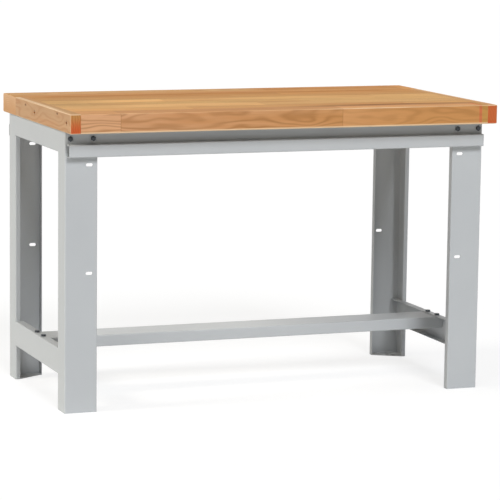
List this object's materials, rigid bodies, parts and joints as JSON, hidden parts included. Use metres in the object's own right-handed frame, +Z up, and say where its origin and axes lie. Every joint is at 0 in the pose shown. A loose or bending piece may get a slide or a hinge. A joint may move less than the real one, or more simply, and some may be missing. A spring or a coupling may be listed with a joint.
{
  "type": "workbench",
  "caption": "Workbench with a thick solid wood worktop on folded sheet-steel legs, side rails, long rails under the top and a low stretcher.",
  "frame": {"origin": "on the floor, under the middle of the worktop", "axes": "+X to the right along the bench, +Y to the back, +Z up; the front faces -Y"},
  "size_m": [1.29, 0.7, 0.85],
  "materials": {
    "worktop_wood": "oiled hardwood, staves with long grain",
    "batten_wood": "oiled hardwood, with darker end grain at the front",
    "frame_paint": "light grey powder coat, satin",
    "bolt_steel": "dark coated steel"
  },
  "bodies": {
    "root": {"top_stave_1": "worktop_wood", "top_stave_2": "worktop_wood", "top_stave_3": "worktop_wood", "top_stave_4": "worktop_wood", "top_stave_5": "worktop_wood", "top_stave_6": "worktop_wood", "top_stave_7": "worktop_wood", "rear_board": "worktop_wood", "left_end_batten": "batten_wood", "right_end_batten": "batten_wood", "front_left_leg": "frame_paint", "front_right_leg": "frame_paint", "rear_left_leg": "frame_paint", "rear_right_leg": "frame_paint", "front_left_foot_plate": "frame_paint", "front_right_foot_plate": "frame_paint", "rear_left_foot_plate": "frame_paint", "rear_right_foot_plate": "frame_paint", "left_upper_rail": "frame_paint", "right_upper_rail": "frame_paint", "left_lower_rail": "frame_paint", "right_lower_rail": "frame_paint", "front_long_rail": "frame_paint", "rear_long_rail": "frame_paint", "stretcher": "frame_paint", "front_rail_bolts": "bolt_steel", "front_rail_washers": "bolt_steel", "front_rail_nuts": "bolt_steel", "rear_rail_bolts": "bolt_steel", "rear_rail_washers": "bolt_steel", "rear_rail_nuts": "bolt_steel", "stretcher_bolts": "bolt_steel", "stretcher_washers": "bolt_steel", "stretcher_nuts": "bolt_steel", "batten_screws": "bolt_steel", "side_rail_screws": "bolt_steel", "front_rail_screws": "bolt_steel", "rear_rail_screws": "bolt_steel"}
  },
  "joints": []
}
